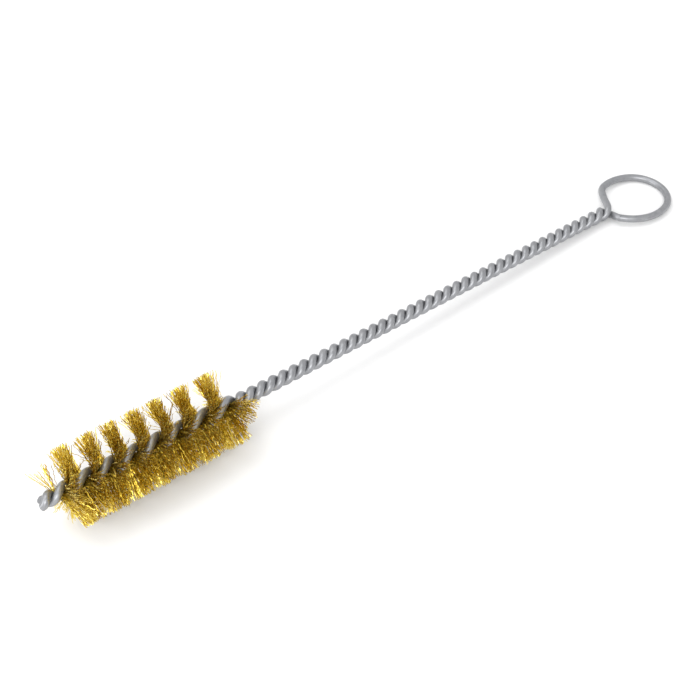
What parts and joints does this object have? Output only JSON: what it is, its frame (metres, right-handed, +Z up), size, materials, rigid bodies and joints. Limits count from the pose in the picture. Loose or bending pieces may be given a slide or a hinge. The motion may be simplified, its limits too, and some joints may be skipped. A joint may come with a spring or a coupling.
{
  "type": "tube brush",
  "caption": "Twisted-wire brass tube brush: a steel wire hairpin with a ring handle grips a screw-shaped fill of crimped brass bristles for cleaning tips and bores.",
  "frame": {"origin": "on the surface that the brush lies on, below the middle of its length", "axes": "+X runs from the cut end with the bristles to the ring, +Z is up from the surface, and +Y follows by the right-hand rule"},
  "size_m": [0.2031, 0.0202, 0.0217],
  "materials": {
    "steel_wire": "dull galvanised",
    "brass_bristle": "crimped drawn wire"
  },
  "bodies": {
    "root": {"ring_handle": "steel_wire", "wire_leg_a": "steel_wire", "wire_leg_b": "steel_wire", "tip_tuft": "brass_bristle", "tuft_1": "brass_bristle", "tuft_2": "brass_bristle", "tuft_3": "brass_bristle", "tuft_4": "brass_bristle", "tuft_5": "brass_bristle", "tuft_6": "brass_bristle", "tuft_7": "brass_bristle", "tail_tuft": "brass_bristle"}
  },
  "joints": []
}
